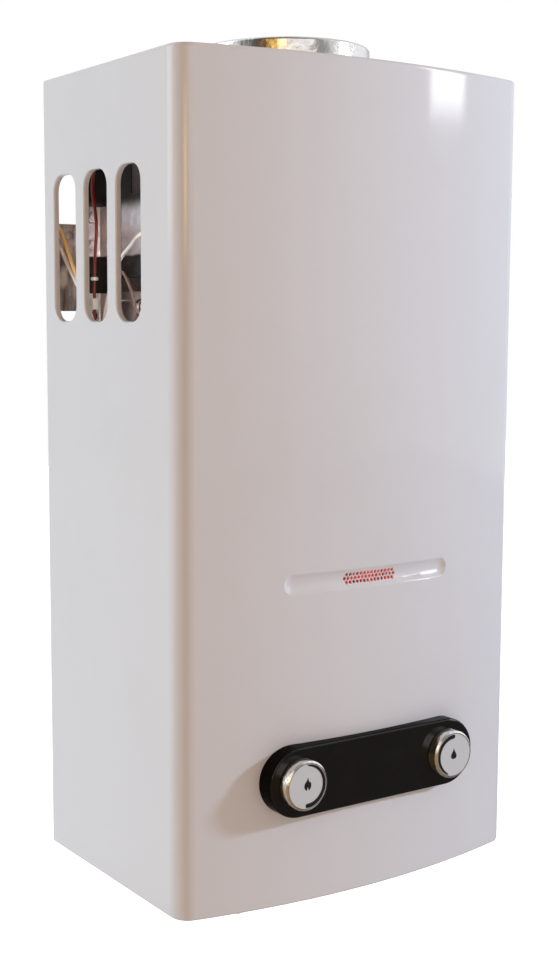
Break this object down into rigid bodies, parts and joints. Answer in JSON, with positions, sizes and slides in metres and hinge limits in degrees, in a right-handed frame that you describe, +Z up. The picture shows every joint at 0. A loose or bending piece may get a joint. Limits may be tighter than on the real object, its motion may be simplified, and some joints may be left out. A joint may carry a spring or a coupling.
{
  "type": "gas water heater",
  "caption": "Wall-hung gas water heater with a bulged white cover, side air slots, round flue collar and a black control plate with turning knobs.",
  "frame": {"origin": "foot of the back panel in the middle of its width, on the wall plane", "axes": "+Z up, -Y towards the front, +X to the right as seen from the front"},
  "size_m": [0.29, 0.2143, 0.6098],
  "materials": {
    "enamel": "glossy white enamel",
    "sight_pane": "dark red tinted pane",
    "black_gloss": "black, polished",
    "chrome_trim": "bright plated plastic",
    "satin_face": "satin light grey with dark markings",
    "galvanised": "zinc coated sheet",
    "steel": "zinc plated",
    "stainless": "bare stainless steel",
    "copper": "bare copper",
    "brass": "turned and cast brass",
    "aluminium": "die cast",
    "ceramic": "white ceramic",
    "rubber": "black rubber",
    "black_plastic": "moulded black",
    "white_plastic": "moulded white",
    "red_plastic": "moulded red",
    "cell_jacket": "plain printed jacket",
    "red_lead": "dark red insulation",
    "pale_lead": "pale insulation",
    "brown_lead": "brown insulation"
  },
  "bodies": {
    "heater": {"front_cover": "enamel", "sight_pane": "sight_pane", "control_plate": "black_gloss", "chassis": "galvanised", "base_plate": "galvanised", "cover_screws": "steel", "draft_hood": "galvanised", "hood_baffle": "galvanised", "flue_collar": "galvanised", "flue_thermostat": "steel", "overheat_thermostat": "steel", "combustion_shell": "copper", "exchanger_fins": "copper", "exchanger_tube": "copper", "water_coil": "copper", "hot_pipe": "copper", "exchanger_brackets": "galvanised", "burner_frame": "galvanised", "burner_bars": "stainless", "gas_manifold": "aluminium", "injectors": "brass", "electrode_bracket": "galvanised", "electrodes": "ceramic", "gas_valve_body": "aluminium", "gland_nuts": "brass", "seat_insert": "brass", "disc_spring": "stainless", "solenoid_can": "steel", "solenoid_spring": "stainless", "diaphragm_cover": "brass", "diaphragm": "rubber", "water_valve_body": "brass", "housing_screws": "steel", "linkage_bracket": "galvanised", "microswitch": "black_plastic", "gas_inlet": "brass", "cold_inlet": "brass", "hot_outlet": "brass", "lock_nuts": "brass", "inlet_strainer": "stainless", "ignition_box": "white_plastic", "battery_box": "black_plastic", "battery_cells": "cell_jacket", "red_lead": "red_lead", "pale_leads": "pale_lead", "brown_lead": "brown_lead", "ignition_lead": "black_plastic", "wire_connector": "white_plastic"},
    "gas_control": {"gas_knob": "chrome_trim", "gas_knob_face": "satin_face", "gas_plug": "brass"},
    "water_control": {"water_knob": "chrome_trim", "water_knob_face": "satin_face", "flow_plug": "brass"},
    "battery_door": {"battery_lid": "black_plastic"},
    "valve_stem": {"push_rod": "stainless", "gas_valve_disc": "rubber"},
    "safety_plunger": {"solenoid_plunger": "steel"},
    "lever": {"switch_lever": "stainless"},
    "button": {"switch_button": "red_plastic"}
  },
  "joints": [
    {"name": "gas_knob_turn", "type": "hinge", "parent": "heater", "child": "gas_control", "pos_m": [-0.0645, -0.21, 0.088], "axis": [0, -1, 0], "range_deg": [0, 180]},
    {"name": "water_knob_turn", "type": "hinge", "parent": "heater", "child": "water_control", "pos_m": [0.0645, -0.21, 0.088], "axis": [0, 1, 0], "range_deg": [0, 180]},
    {"name": "battery_lid_swing", "type": "hinge", "parent": "heater", "child": "battery_door", "pos_m": [0.0668, -0.0195, -0.0015], "axis": [1, 0, 0], "range_deg": [0, 90]},
    {"name": "valve_stem_slide", "type": "slide", "parent": "heater", "child": "valve_stem", "axis": [-1, 0, 0], "range_m": [0, 0.004], "stiffness_N_per_m": 400, "springref_m": -0.004, "deforming": ["disc_spring", "diaphragm"]},
    {"name": "switch_lever_turn", "type": "hinge", "parent": "heater", "child": "lever", "pos_m": [-0.00855, -0.11, 0.103], "axis": [0, 1, 0], "range_deg": [0, 26.5]},
    {"name": "switch_button_slide", "type": "slide", "parent": "heater", "child": "button", "axis": [1, 0, 0], "range_m": [0, 0.0018]},
    {"name": "safety_valve_slide", "type": "slide", "parent": "heater", "child": "safety_plunger", "axis": [-1, 0, 0], "range_m": [0, 0.003], "stiffness_N_per_m": 300, "springref_m": -0.003, "deforming": ["solenoid_spring"]}
  ],
  "couplings": [
    {"joint": "switch_lever_turn", "follows": "valve_stem_slide", "rad_per_m": 115.63},
    {"joint": "switch_button_slide", "follows": "valve_stem_slide", "ratio": 0.45}
  ]
}
